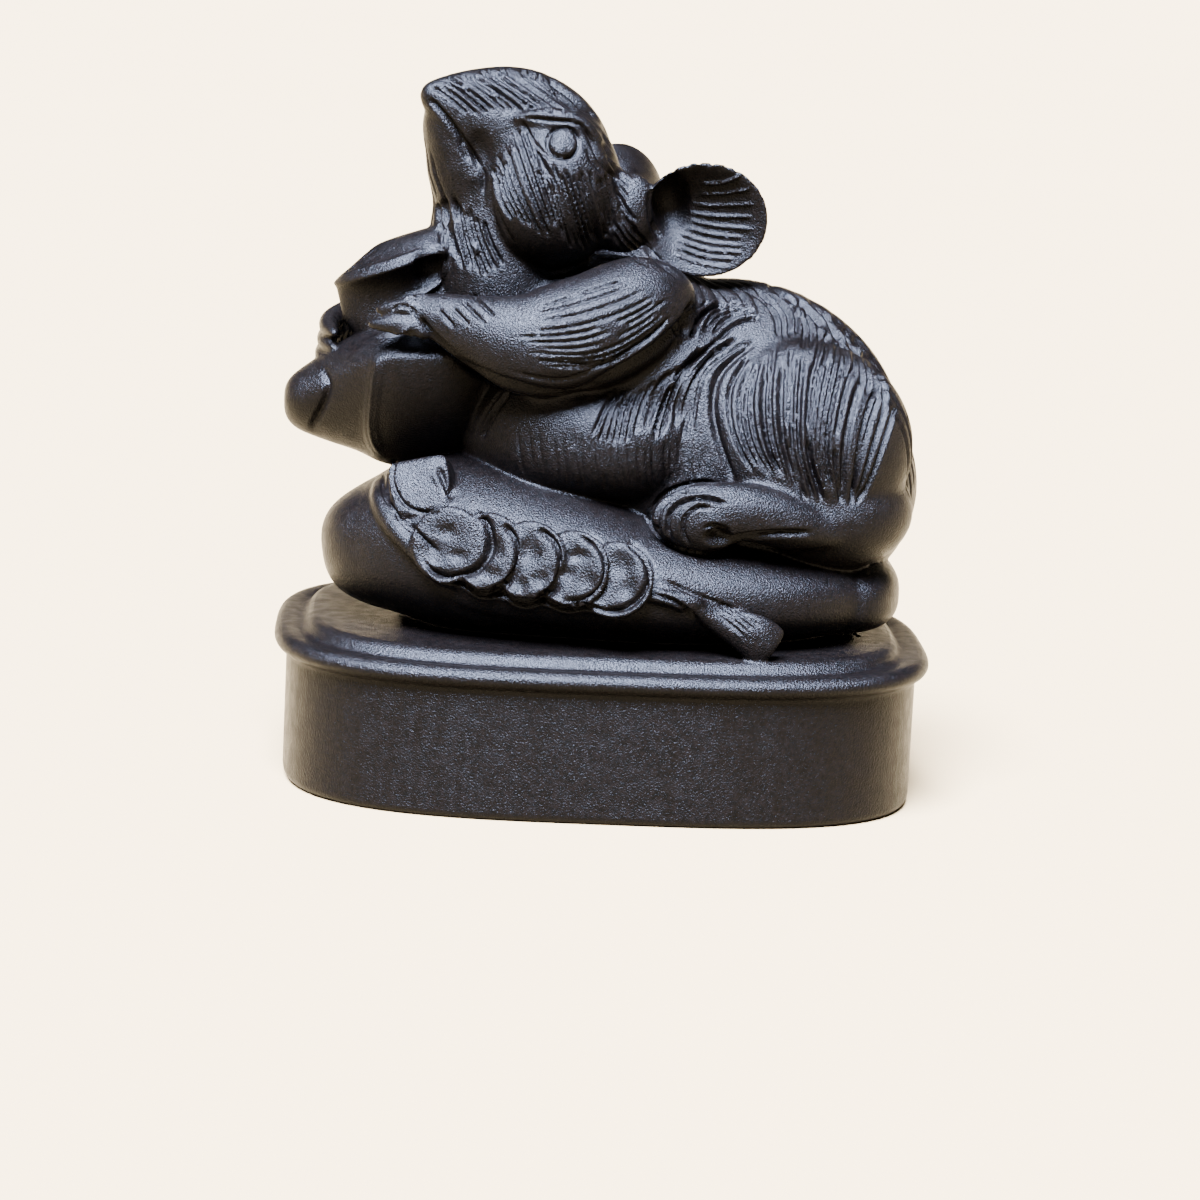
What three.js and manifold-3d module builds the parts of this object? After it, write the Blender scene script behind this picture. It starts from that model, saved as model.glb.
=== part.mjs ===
// A small rat figurine in black stone: the rat lies on a full money bag on an oblong plinth,
// looks up and to the left, and hugs a boat-shaped ingot. It is carved as one piece.
// Millimetres, +Z up, +X to the rat's tail, the show side faces -Y.
// The origin is on the underside, in the middle of the plinth.

import * as THREE from 'three';
import { mergeVertices } from 'three/addons/utils/BufferGeometryUtils.js';
import Module from 'manifold-3d';

// Driving sizes of the whole piece
const LENGTH = 58;
const DEPTH = 44;
const HEIGHT = 63;

// Plinth: a rounded oblong wall, a rolled rim that stands out, and a low step that carries the bag
const PLINTH_HEIGHT = 14.2;
const PLINTH_SQUARENESS = 3.2;
const WALL_INSET = 1.1;
const FOOT_CHAMFER = 0.5;
const RIM_HEIGHT = 1.75;
const STEP_INSET = 2.9;
const STEP_HEIGHT = 0.95;
const STEP_ROUND = 0.4;

// The figure keeps its own proportions. Its forms are drawn in millimetres above the plinth's
// top, for a figure of this height, and are carried to the height that the sizes above leave.
const DRAWN_HEIGHT = 48.77;
const FIGURE_SCALE = (HEIGHT - PLINTH_HEIGHT) / DRAWN_HEIGHT;

// Head: how far it is turned towards the show side, and the upright line that it turns about
const HEAD_TURN = THREE.MathUtils.degToRad(21);
const NECK_X = -7;

// Coins on the bag
const COIN_COUNT = 5;
const COIN_RADIUS = 3.3;
const COIN_THICKNESS = 1.2;

const wasm = await Module();
wasm.setup();

const vector = (point) => new THREE.Vector3(point[0], point[1], point[2]);

// Carries a point drawn above the plinth's top to its place on the piece.
const onPlinth = (v) =>
  new THREE.Vector3(v.x * FIGURE_SCALE, v.y * FIGURE_SCALE, PLINTH_HEIGHT + v.z * FIGURE_SCALE);

// The same points on the far side of the figure.
const mirrored = (points) => points.map(([x, y, z, ...sizes]) => [x, -y, z, ...sizes]);

// Turns drawn points with the head. The head is drawn looking along -X.
const withHead = (points) => points.map(([x, y, z, ...sizes]) => {
  const c = Math.cos(HEAD_TURN);
  const s = Math.sin(HEAD_TURN);
  return [NECK_X + (x - NECK_X) * c - y * s, (x - NECK_X) * s + y * c, z, ...sizes];
});

// Turns a closed mesh into a solid that can be joined and cut.
function solid(geometry) {
  const bare = geometry.clone();
  bare.deleteAttribute('normal');
  bare.deleteAttribute('uv');
  const merged = mergeVertices(bare, 1e-4);
  return new wasm.Manifold(new wasm.Mesh({
    numProp: 3,
    vertProperties: new Float32Array(merged.attributes.position.array),
    triVerts: new Uint32Array(merged.index.array),
  }));
}

const joined = (solids) => solids.reduce((whole, next) => whole.add(next));

// Moves every vertex of a geometry to shape(vertex), which gives a drawn point.
function moulded(geometry, shape) {
  const position = geometry.attributes.position;
  const vertex = new THREE.Vector3();
  for (let i = 0; i < position.count; i += 1) {
    vertex.fromBufferAttribute(position, i);
    const place = onPlinth(shape(vertex));
    position.setXYZ(i, place.x, place.y, place.z);
  }
  return solid(geometry);
}

// An ellipsoid's surface: its centre, its three radii and its turns about X, Y and Z in degrees.
function blobSurface(centre, radii, turns = [0, 0, 0]) {
  const turn = new THREE.Quaternion().setFromEuler(
    new THREE.Euler(...turns.map((angle) => THREE.MathUtils.degToRad(angle)), 'ZYX'),
  );
  return (direction) =>
    direction.clone().multiply(vector(radii)).applyQuaternion(turn).add(vector(centre));
}

// The ellipsoid itself. The sphere's poles are laid along X, so that its rings run round the form.
function blob(centre, radii, turns, around = 20, along = 12) {
  const surface = blobSurface(centre, radii, turns);
  return moulded(new THREE.SphereGeometry(1, around, along), (d) =>
    surface(new THREE.Vector3(d.y, d.z, d.x)));
}

const curve = (points) => new THREE.CatmullRomCurve3(points, false, 'catmullrom', 0.5);

// A limb's surface: round sections carried along a smooth path. Each point is
// [x, y, z, width, height]: width is the half size to the side, height the half size upwards.
// The ends close roundly, and a higher fullness keeps the sections wide nearer to the ends.
// The surface takes t along the path and the section's direction, (side, lift), of length 1.
function limbSurface(points, { fullness = 2.6, squareness = 2 } = {}) {
  const path = curve(points.map(vector));
  const sizes = curve(points.map((p) => new THREE.Vector3(p[3], p[4] ?? p[3], 0)));
  const chord = vector(points[points.length - 1]).sub(vector(points[0])).normalize();
  const up = Math.abs(chord.z) > 0.8 ? new THREE.Vector3(1, 0, 0) : new THREE.Vector3(0, 0, 1);
  const bend = 2 / squareness;
  const bent = (share) => Math.sign(share) * Math.abs(share) ** bend;
  return (t, acrossShare, liftShare) => {
    const end = Math.abs(1 - 2 * t);
    const round = Math.max(1 - end ** fullness, 0) ** (1 / fullness);
    const tangent = path.getTangent(t);
    const side = new THREE.Vector3().crossVectors(up, tangent).normalize();
    const lift = new THREE.Vector3().crossVectors(tangent, side);
    const size = sizes.getPoint(t);
    return path.getPoint(t)
      .addScaledVector(side, round * size.x * bent(acrossShare))
      .addScaledVector(lift, round * size.y * bent(liftShare));
  };
}

function limb(points, { around = 16, along = 14, ...ends } = {}) {
  const surface = limbSurface(points, ends);
  return moulded(new THREE.SphereGeometry(1, around, along), (d) => {
    const across = Math.hypot(d.x, d.z) || 1;
    return surface(THREE.MathUtils.clamp((1 - d.y) / 2, 0, 1), d.x / across, d.z / across);
  });
}

// One point of the plinth's outline, brought in from the full length and depth.
function outlinePoint(angle, inset) {
  const c = Math.cos(angle);
  const s = Math.sin(angle);
  const bend = 2 / PLINTH_SQUARENESS;
  return [
    (LENGTH / 2 - inset) * Math.sign(c) * Math.abs(c) ** bend,
    (DEPTH / 2 - inset) * Math.sign(s) * Math.abs(s) ** bend,
  ];
}

// The plinth: a lathe turns its profile of radius and height, and each ring is then drawn out
// to the oblong outline.
function plinth() {
  const rimTop = PLINTH_HEIGHT - STEP_HEIGHT;
  const rimBottom = rimTop - RIM_HEIGHT;
  const profile = [
    [WALL_INSET + FOOT_CHAMFER, 0],
    [WALL_INSET, FOOT_CHAMFER],
    [WALL_INSET, rimBottom],
    [WALL_INSET * 0.3, rimBottom + RIM_HEIGHT * 0.12],
    [0, rimBottom + RIM_HEIGHT * 0.42],
    [WALL_INSET * 0.2, rimBottom + RIM_HEIGHT * 0.78],
    [WALL_INSET * 0.9, rimTop],
    [STEP_INSET - STEP_ROUND, rimTop - 0.1],
    [STEP_INSET, PLINTH_HEIGHT - STEP_ROUND],
    [STEP_INSET + STEP_ROUND, PLINTH_HEIGHT],
  ].map(([inset, height]) => new THREE.Vector2(DEPTH / 2 - inset, height));
  const onAxis = [new THREE.Vector2(0, 0), new THREE.Vector2(0, PLINTH_HEIGHT)];
  const turned = new THREE.LatheGeometry([onAxis[0], ...profile, onAxis[1]], 40);
  const position = turned.attributes.position;
  for (let i = 0; i < position.count; i += 1) {
    const radius = Math.hypot(position.getX(i), position.getZ(i));
    const angle = Math.atan2(position.getX(i), position.getZ(i));
    const [x, y] = radius > 0 ? outlinePoint(angle, DEPTH / 2 - radius) : [0, 0];
    position.setXYZ(i, x, y, position.getY(i));
  }
  return solid(turned);
}

// The money bag lies on its side along the plinth.
const BAG = [
  [-24.4, 1.5, 5.2, 8, 5.2], [-20, 0.4, 6.0, 11.8, 6.1], [-13, -0.6, 7.0, 14.8, 7.8],
  [-5, -1.2, 6.4, 16.2, 7.2], [4, -1.2, 5.0, 16.8, 5.8], [15, -0.6, 4.1, 15.8, 4.9],
  [25.5, 0.6, 3.6, 12, 4.3],
];
const BAG_FORM = { fullness: 3.2, squareness: 2.5 };
const bagSurface = limbSurface(BAG, BAG_FORM);

// A drawn point on the bag: t from its mouth to its end, and degrees round it, where 90 is the
// top and 180 the front. The sizes that a limb's point needs may follow.
function onBag(t, degrees, ...sizes) {
  const angle = THREE.MathUtils.degToRad(degrees);
  const place = bagSurface(t, Math.cos(angle), Math.sin(angle));
  return [place.x, place.y, place.z, ...sizes];
}

function bag() {
  return limb(BAG, { ...BAG_FORM, around: 24, along: 12 });
}

// The bag's rolled mouth, which runs down the front and on as a fold under the coins, and the
// square-edged bar that shows in the mouth.
const BAR = [5, 2.6, 5];

function bagMouth() {
  const rim = limb([onBag(0.2, 104, 0.5), onBag(0.224, 134, 0.9), onBag(0.25, 156, 1.0),
    onBag(0.28, 172, 0.9), onBag(0.325, 184, 0.8), onBag(0.37, 192, 0.5)], { around: 6, along: 10 });
  const turn = new THREE.Quaternion().setFromEuler(new THREE.Euler(-0.5, -0.25, -0.2));
  const [x, y, z] = onBag(0.3, 136);
  const bar = moulded(new THREE.BoxGeometry(...BAR), (v) =>
    v.clone().applyQuaternion(turn).add(new THREE.Vector3(x, y, z)));
  return [rim, bar];
}

// The bag's drawstring ends in a tassel that hangs over the edge of the step.
function tassel() {
  return [
    limb([onBag(0.6, 180, 0.5), onBag(0.66, 179, 0.7), onBag(0.7, 180, 0.8), onBag(0.72, 182, 0.6)],
      { around: 6, along: 5 }),
    limb([onBag(0.7, 181, 0.6, 0.6), onBag(0.735, 190, 0.9, 1.1), [12, -17.4, 2.2, 1.0, 1.6],
      [13.4, -17.2, 0.8, 0.8, 1.3]], { around: 6, along: 7, fullness: 5 }),
  ];
}

// A coin with its faces towards -Y and +Y before it is turned: a flat disc with a rounded edge.
function coin(place, turns) {
  const half = COIN_THICKNESS / 2;
  const profile = [
    [0, -half],
    [COIN_RADIUS - half, -half],
    [COIN_RADIUS, 0],
    [COIN_RADIUS - half, half],
    [0, half],
  ].map(([radius, height]) => new THREE.Vector2(radius, height));
  const turn = new THREE.Quaternion().setFromEuler(new THREE.Euler(...turns));
  return moulded(new THREE.LatheGeometry(profile, 15), (v) =>
    v.clone().applyQuaternion(turn).add(vector(place)));
}

// A row of coins on the bag's front. Each one's left edge is tucked under the coin before it.
function coins() {
  return Array.from({ length: COIN_COUNT }, (_, i) => {
    const share = i / (COIN_COUNT - 1);
    return coin(onBag(0.345 + 0.252 * share, 172.5 + 2 * share), [-0.22, 0, -0.16]);
  });
}

const CHEST = [
  [-11, 0, 23, 6.5, 7.5], [-4, 0, 23.4, 9.6, 9], [4, 0, 21.6, 11.2, 10], [12, 0, 18, 12, 11],
];
const BELLY = [
  [-14, -1, 16, 6, 5], [-8, -1, 16, 10.4, 7], [0, -1, 14.5, 12.4, 7.5], [9, 0, 13, 12.6, 7],
];

// The rat's trunk: the round back, the rump, the chest and the belly.
function trunk() {
  return [
    blob([10.2, 0.4, 14.8], [16.3, 12.4, 15.8], [0, 0, 0], 20, 12),
    blob([18.4, 1, 12.6], [9.2, 10.6, 9.8], [0, 0, 0], 16, 10),
    limb(CHEST, { around: 18, along: 8 }),
    limb(BELLY, { around: 16, along: 8 }),
  ];
}

// A hind leg: the thigh's round mass, and the foot that comes out from under it.
const THIGH = { centre: [16.2, -7.6, 18.0], radii: [9.6, 6.3, 9.8] };
const FOOT = [
  [21, -11.4, 9.8, 1.8, 1.6], [15.5, -13, 11.2, 2.3, 2.4], [11, -14.2, 12.2, 2.2, 2.5],
  [7.2, -14.6, 11.6, 2.4, 3.2], [3.2, -14.4, 11.4, 2.2, 2.6],
];

function hindLeg(side) {
  const [x, y, z] = THIGH.centre;
  return [
    blob([x, -side * y, z], THIGH.radii, [0, 0, 0], 18, 10),
    limb(side > 0 ? mirrored(FOOT) : FOOT, { around: 10, along: 9 }),
  ];
}

// A foreleg, from the shoulder to the paw, and the toes that hold the ingot.
const FORELEG = [
  [6, -6.5, 29.4, 4.0, 4.0], [2, -8.6, 28.8, 4.8, 5.0], [-2.5, -10.6, 26.8, 4.8, 5.0],
  [-7.5, -11.8, 25.6, 4.0, 4.6], [-12, -11.4, 26.4, 2.9, 3.2], [-16, -10.2, 27.4, 2.2, 2.2],
  [-19.5, -8.8, 27.0, 2.4, 1.9],
];
const TOE = [[-17.4, -10.0, 27.8, 0.8], [-20.4, -9.4, 27.7, 0.95], [-22.6, -7.8, 27.0, 0.7]];
const TOE_SPACING = 1.5;

function foreleg(side) {
  const toes = [0, 1, 2].map((i) => TOE.map(([x, y, z, size]) =>
    [x + 0.5 * i, y - 0.2 * i, z - TOE_SPACING * i, size]));
  const place = (points) => (side > 0 ? mirrored(points) : points);
  return [
    limb(place(FORELEG), { around: 12, along: 13, fullness: 3 }),
    ...toes.map((toe) => limb(place(toe), { around: 6, along: 5 })),
  ];
}

// The neck rises from the chest to the chin, upright at the front.
function neck() {
  const throat = [[-9, 0, 24, 7, 7], [-10.6, 0, 31, 5.8, 6.2], [-11.6, 0, 37, 5.2, 5.2],
    [-14, -1.6, 41.2, 3.8, 3.9], [-16.9, -3.4, 44.8, 2.2, 1.9]];
  return limb(throat, { around: 13, along: 10, fullness: 3.4 });
}

// The head, drawn looking along -X: skull and muzzle in one, and on each side a full cheek, the
// eye, the brow over it and the root of the ear.
function headSide(side) {
  const place = (points) => withHead(side > 0 ? mirrored(points) : points);
  const turn = [0, 0, THREE.MathUtils.radToDeg(HEAD_TURN)];
  const [cheek] = place([[-7.4, -3.2, 38.2]]);
  const [eye] = place([[-8.5, -7.5, 42.3]]);
  const brow = [[-12, -4.7, 44.5, 0.6], [-9.4, -6, 44.7, 1.1], [-6.6, -6.8, 44.2, 1.1],
    [-4.4, -7, 42.4, 0.6]];
  const earRoot = [[-3, -5, 36, 3, 3.6], [0.5, -7.2, 36.4, 2.6, 3.9], [3, -7.8, 36.2, 1.6, 3.4]];
  return [
    blob(cheek, [6.0, 5.9, 7.2], turn, 14, 10),
    blob(eye, [1.35, 1.35, 1.35], [0, 0, 0], 8, 6),
    limb(place(brow), { around: 6, along: 6 }),
    limb(place(earRoot), { around: 8, along: 6 }),
  ];
}

function head() {
  const skull = [[-18.6, 0, 46.2, 1.9, 1.9], [-14.4, 0, 44.7, 3.6, 4.2], [-9.8, 0, 43.1, 5.4, 5.8],
    [-5.9, 0, 41, 6.0, 6.1], [-1.6, 0, 38.8, 5, 5.2]];
  return [
    limb(withHead(skull), { around: 16, along: 12, fullness: 2.8 }),
    ...headSide(-1),
    ...headSide(1),
  ];
}

// An ear: a round cupped shell. Rays run from the hollow, near the head, to the rim, and low
// ribs follow them. The ear is drawn with its mouth towards the side that it is on, and is then
// turned with the head and a little more, so that its free edge stands away from the back.
const EAR = {
  centre: [4.4, -9.4, 36.1],
  radii: [5.6, 5.1],
  turn: THREE.MathUtils.degToRad(20),
  hollow: [-2.6, 0.2],
  cup: 2.2,
  thickness: 0.8,
  ribs: 7,
  ribHeight: 0.35,
};

function ear(side) {
  const [centre] = withHead(side > 0 ? mirrored([EAR.centre]) : [EAR.centre]);
  // One pole of the sphere becomes the bottom of the hollow, and the other the middle of the back.
  return moulded(new THREE.SphereGeometry(1, EAR.ribs * 4, 7), (d) => {
    const angle = Math.atan2(d.z, d.x);
    const reach = Math.hypot(d.x, d.z);
    const rimX = EAR.radii[0] * Math.cos(angle);
    const rimZ = EAR.radii[1] * Math.sin(angle);
    const x = EAR.hollow[0] + (rimX - EAR.hollow[0]) * reach;
    const z = EAR.hollow[1] + (rimZ - EAR.hollow[1]) * reach;
    const facing = side * d.y;
    const rib = EAR.ribHeight * Math.cos(EAR.ribs * angle) * 4 * facing * (1 - facing);
    const bowl = EAR.cup * (1 - reach ** 2.2);
    const outward = facing > 0 ? EAR.thickness * facing + rib - bowl
      : EAR.thickness * 1.6 * facing - bowl * 0.9;
    return new THREE.Vector3(x, side * outward, z)
      .applyAxisAngle(new THREE.Vector3(0, 0, 1), HEAD_TURN + side * EAR.turn)
      .add(vector(centre));
  });
}

// The ingot, a boat shape held on its end: the full hull lies against the belly, one wing
// stands up under the chin and the other points down and forward.
function ingot() {
  const hull = [[-10.5, -1, 21.4, 7.4, 5], [-15.6, -1, 20.4, 10, 6.9], [-20.4, -1, 19.4, 9, 6.3],
    [-24.8, -1, 18.8, 5.6, 4.5], [-28.7, -1, 18.6, 3.4, 3.0]];
  const waist = [[-20, -1, 30, 4.6, 3], [-19.4, -1, 25, 6, 4.6], [-18, -1, 20, 6, 5]];
  const wing = [[-25.2, -1, 28.9, 4.6, 1.6], [-22, -1, 29.7, 5.2, 3.2], [-18.4, -1, 30.2, 5, 3.6],
    [-14.6, -1, 30.8, 2.6, 2.4]];
  return [
    limb(hull, { around: 16, along: 10, fullness: 3.4 }),
    limb(waist, { around: 8, along: 6 }),
    limb(wing, { around: 12, along: 8, fullness: 2.2, squareness: 1.4 }),
    blob([-23.2, -1, 24.8], [2.4, 4.8, 2.6], [0, 0, 0], 10, 6),
  ];
}

// The tail lies along the back of the bag.
function tail() {
  return limb([[23, 4, 10, 2.4], onBag(0.95, 45, 2.0), onBag(0.89, 14, 1.7), onBag(0.76, 2, 1.5),
    onBag(0.6, -2, 1.3), onBag(0.45, 4, 0.9)], { around: 8, along: 12, fullness: 6 });
}

// The deepest strokes of the carved fur: thin grooves down the thigh, worked out on its
// ellipsoid from shares of the radii.
const STROKE_WIDTH = 0.45;

function furStrokes(side, count) {
  const [x, y, z] = THIGH.centre;
  const thigh = blobSurface([x, -side * y, z], THIGH.radii);
  return Array.from({ length: count }, (_, i) => {
    const share = i / (count - 1) - 0.5;
    return limb([0.6, 0.1, -0.4].map((height) => {
      const across = share * (0.8 + 0.3 * height);
      const outward = side * Math.sqrt(1 - across ** 2 - height ** 2);
      const place = thigh(new THREE.Vector3(across, outward, height));
      return [place.x, place.y, place.z, STROKE_WIDTH];
    }), { around: 4, along: 4 });
  });
}

const STONE = { name: 'black_stone', color: 0x1b1a1c, roughness: 0.45, metalness: 0 };

const uncut = joined([
  plinth(), bag(), ...bagMouth(), ...coins(), ...tassel(), ...trunk(),
  ...hindLeg(-1), ...hindLeg(1), ...foreleg(-1), ...foreleg(1),
  neck(), ...head(), ear(-1), ear(1), ...ingot(), tail(),
]);
const carving = uncut.subtract(joined([...furStrokes(-1, 5), ...furStrokes(1, 3)]));

// Hands the finished solid back as a named mesh.
function stoneMesh(name, manifold) {
  const { vertProperties, triVerts, numProp } = manifold.getMesh();
  const geometry = new THREE.BufferGeometry();
  geometry.setAttribute('position', new THREE.BufferAttribute(vertProperties, numProp));
  geometry.setIndex(new THREE.BufferAttribute(triVerts, 1));
  geometry.computeVertexNormals();
  const mesh = new THREE.Mesh(geometry, new THREE.MeshStandardMaterial(STONE));
  mesh.name = name;
  return mesh;
}

const figurine = new THREE.Group();
figurine.add(stoneMesh('rat_figurine', carving));

export default figurine;
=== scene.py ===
"""A small rat figurine in black stone, seen on a pale floor.

The rat lies on a full money bag on an oblong plinth, looks up and to the left, and hugs a
boat-shaped ingot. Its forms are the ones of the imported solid, made finer: they are fused, their
creases are filled like carved stone, and the carver's strokes are cut into the skin.
Forms are drawn in millimetres. The show side faces -Y.
"""

import bpy
import numpy as np
from mathutils import Matrix, Vector


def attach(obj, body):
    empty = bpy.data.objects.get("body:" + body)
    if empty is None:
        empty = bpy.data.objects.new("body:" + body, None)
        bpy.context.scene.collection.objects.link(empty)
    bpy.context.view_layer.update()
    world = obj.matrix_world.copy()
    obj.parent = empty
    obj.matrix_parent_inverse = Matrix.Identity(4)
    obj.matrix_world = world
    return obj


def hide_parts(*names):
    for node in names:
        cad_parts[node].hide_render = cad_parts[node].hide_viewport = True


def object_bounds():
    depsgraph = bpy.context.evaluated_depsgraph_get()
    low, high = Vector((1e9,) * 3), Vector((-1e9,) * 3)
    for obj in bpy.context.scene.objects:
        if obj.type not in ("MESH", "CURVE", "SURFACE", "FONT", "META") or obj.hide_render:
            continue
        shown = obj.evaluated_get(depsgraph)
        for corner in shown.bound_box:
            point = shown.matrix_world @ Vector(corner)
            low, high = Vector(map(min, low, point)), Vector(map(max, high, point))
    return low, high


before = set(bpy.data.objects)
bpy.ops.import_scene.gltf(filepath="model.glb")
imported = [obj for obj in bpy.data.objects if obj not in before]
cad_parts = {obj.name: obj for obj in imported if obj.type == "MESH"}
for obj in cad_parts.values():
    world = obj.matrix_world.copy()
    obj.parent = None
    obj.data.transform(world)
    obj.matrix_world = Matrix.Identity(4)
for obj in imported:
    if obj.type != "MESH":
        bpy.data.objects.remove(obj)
CAD_BOX = [list(corner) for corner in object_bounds()]

MM = 0.001

# Sizes of the whole piece, as in the part's source
LENGTH = 58.0
DEPTH = 44.0
HEIGHT = 63.0
PLINTH_HEIGHT = 14.2
DRAWN_HEIGHT = 48.77
FIGURE_SCALE = (HEIGHT - PLINTH_HEIGHT) / DRAWN_HEIGHT
HEAD_TURN = np.radians(21)
NECK_X = -7.0

# Fineness of the fused skin, the rounds that fill its creases, and the most triangles that the
# finished piece may have
BODY_VOXEL = 0.2
SKIN_VOXEL = 0.15
BODY_FILLING = 36
SKIN_FILLING = 8
MOST_TRIANGLES = 196000

# The camera that took the photograph: where it stood, where it looked and its focal length in
# pixels of a picture 1200 pixels square
PICTURE = 1200
FOCAL_PIXELS = 3939.1
CAMERA_AZIMUTH = np.radians(-2.71)
CAMERA_ELEVATION = np.radians(8.44)
CAMERA_ROLL = np.radians(2.857)
CAMERA_DISTANCE = 350.0
AIM_POINT = np.array([0.0, 0.0, 30.0])
AIM_PIXEL = np.array([609.9, 440.6])
PIXELS_PER_MM = FOCAL_PIXELS / CAMERA_DISTANCE


def camera_axes():
    """The camera's right, up and back directions, and its place, in millimetres.

    The camera first looks straight at the aim point, rolled, and is then turned about its own
    place until the aim point falls on its pixel.
    """
    az, el, roll = CAMERA_AZIMUTH, CAMERA_ELEVATION, CAMERA_ROLL
    back = np.array([np.sin(az) * np.cos(el), -np.cos(az) * np.cos(el), np.sin(el)])
    level = np.array([np.cos(az), np.sin(az), 0.0])
    upright = np.cross(back, level)
    right = np.cos(roll) * level + np.sin(roll) * upright
    up = np.cos(roll) * upright - np.sin(roll) * level
    aside = Vector(((AIM_PIXEL[0] - PICTURE / 2) / FOCAL_PIXELS,
                    (PICTURE / 2 - AIM_PIXEL[1]) / FOCAL_PIXELS, -1.0))
    turn = np.array(aside.rotation_difference(Vector((0, 0, -1))).to_matrix())
    return np.column_stack([right, up, back]) @ turn, AIM_POINT + CAMERA_DISTANCE * back


CAMERA_TURN, CAMERA_PLACE = camera_axes()


def picture_place(points):
    """Each point's place in the photograph, in pixels from its top left corner."""
    seen = (points - CAMERA_PLACE) @ CAMERA_TURN
    return np.column_stack([PICTURE / 2 - FOCAL_PIXELS * seen[:, 0] / seen[:, 2],
                            PICTURE / 2 + FOCAL_PIXELS * seen[:, 1] / seen[:, 2]])


# Placing drawn points

def on_plinth(points):
    """A figure's drawn points, which are above the plinth's top, at their place on the piece."""
    return np.asarray(points, float) * FIGURE_SCALE + np.array([0, 0, PLINTH_HEIGHT])


def mirrored(points):
    """The same limb or points on the far side."""
    return [[p[0], -p[1], *p[2:]] for p in points]


def with_head(points):
    """Drawn points turned with the head. The head is drawn looking along -X."""
    c, s = np.cos(HEAD_TURN), np.sin(HEAD_TURN)
    return [[NECK_X + (p[0] - NECK_X) * c - p[1] * s, (p[0] - NECK_X) * s + p[1] * c, *p[2:]]
            for p in points]


def across_head(points):
    """Points, or directions if they are given as differences, mirrored in the turned head's middle
    plane, which stands upright on the line through NECK_X."""
    normal = np.array([-np.sin(HEAD_TURN), np.cos(HEAD_TURN), 0.0])
    return points - 2 * ((points - [NECK_X, 0, 0]) @ normal)[:, None] * normal


# Surfaces

def spline(points, t):
    """A smooth curve through the points at t from 0 to 1, and its slope: on each stretch a cubic
    whose end slopes are half the step between the points on either side."""
    p = np.asarray(points, float)
    n = len(p)
    ext = np.vstack([2 * p[0] - p[1], p, 2 * p[-1] - p[-2]])
    s = np.asarray(t, float) * (n - 1)
    i = np.clip(np.floor(s).astype(int), 0, n - 2)
    w = (s - i)[..., None]
    a, b = ext[i + 1], ext[i + 2]
    slope_a, slope_b = 0.5 * (ext[i + 2] - ext[i]), 0.5 * (ext[i + 3] - ext[i + 1])
    place = ((2 * w**3 - 3 * w**2 + 1) * a + (w**3 - 2 * w**2 + w) * slope_a
             + (3 * w**2 - 2 * w**3) * b + (w**3 - w**2) * slope_b)
    slope = (6 * (w**2 - w) * (a - b) + (3 * w**2 - 4 * w + 1) * slope_a
             + (3 * w**2 - 2 * w) * slope_b)
    return place, slope


def smooth_step(low, high, value):
    """0 below low, 1 above high and an S-shaped ramp between."""
    s = np.clip((value - low) / (high - low), 0, 1)
    return s * s * (3 - 2 * s)


def circle(count):
    """Angles round a circle, without the last that would be the first again."""
    return np.linspace(0, 2 * np.pi, count, endpoint=False)


def taper(t, fullness):
    """A form's share of its size at t: 1 at the middle, falling to nothing at both ends as
    (1 - |1 - 2t|^fullness)^(1 / fullness)."""
    return np.maximum(1 - np.abs(1 - 2 * t)**fullness, 0)**(1 / fullness)


def limb_surface(points, fullness=2.6, squareness=2.0):
    """Sections carried along a smooth path: each point is [x, y, z, half width, half height].
    A section is a circle, or a squarer ring, in the plane across the path, and both ends taper."""
    full = np.array([list(p) + [p[3]] if len(p) == 4 else list(p) for p in points], float)
    chord = full[-1, :3] - full[0, :3]
    steep = abs(chord[2]) > 0.8 * np.linalg.norm(chord)
    up = np.array([1.0, 0, 0]) if steep else np.array([0, 0, 1.0])

    def surface(t, across, lift):
        place, slope = spline(full, t)
        along = slope[..., :3] / np.linalg.norm(slope[..., :3], axis=-1, keepdims=True)
        side = np.cross(up, along)
        side /= np.linalg.norm(side, axis=-1, keepdims=True)
        over = np.cross(along, side)
        end = taper(t, fullness)
        wide = np.sign(across) * np.abs(across)**(2 / squareness)
        high = np.sign(lift) * np.abs(lift)**(2 / squareness)
        return (place[..., :3] + side * (end * place[..., 3] * wide)[..., None]
                + over * (end * place[..., 4] * high)[..., None])
    return surface


def closed_grid(rows):
    """A closed shell from rows of points round a form: the first and the last row are one point
    each, every pair of rows is joined by four-sided faces and the ends by fans."""
    count, around = rows.shape[0] - 2, rows.shape[1]
    verts = np.vstack([rows[0, :1], rows[1:-1].reshape(-1, 3), rows[-1, :1]])
    ring = np.arange(around)
    after = (ring + 1) % around
    base = 1 + around * np.arange(count - 1)[:, None]
    quads = np.stack([base + ring, base + after, base + around + after, base + around + ring], -1)
    last = 1 + around * (count - 1)
    first_fan = np.stack([0 * ring, after + 1, ring + 1], -1)
    last_fan = np.stack([0 * ring + len(verts) - 1, last + ring, last + after], -1)
    return verts, quads.reshape(-1, 4).tolist() + first_fan.tolist() + last_fan.tolist()


def limb(points, around=40, along=56, **form):
    """A limb's closed shell, at its place on the piece."""
    t = (1 - np.cos(np.linspace(0, np.pi, along)))[:, None] / 2 + np.zeros(around)
    angle = circle(around) + np.zeros((along, 1))
    rows = limb_surface(points, **form)(t, np.cos(angle), np.sin(angle))
    return closed_grid(on_plinth(rows))


def turned(points, turns):
    """Points turned about X, then Y, then Z, by angles in radians."""
    for axis, angle in zip("XYZ", turns):
        points = points @ np.array(Matrix.Rotation(angle, 3, axis)).T
    return points


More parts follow.
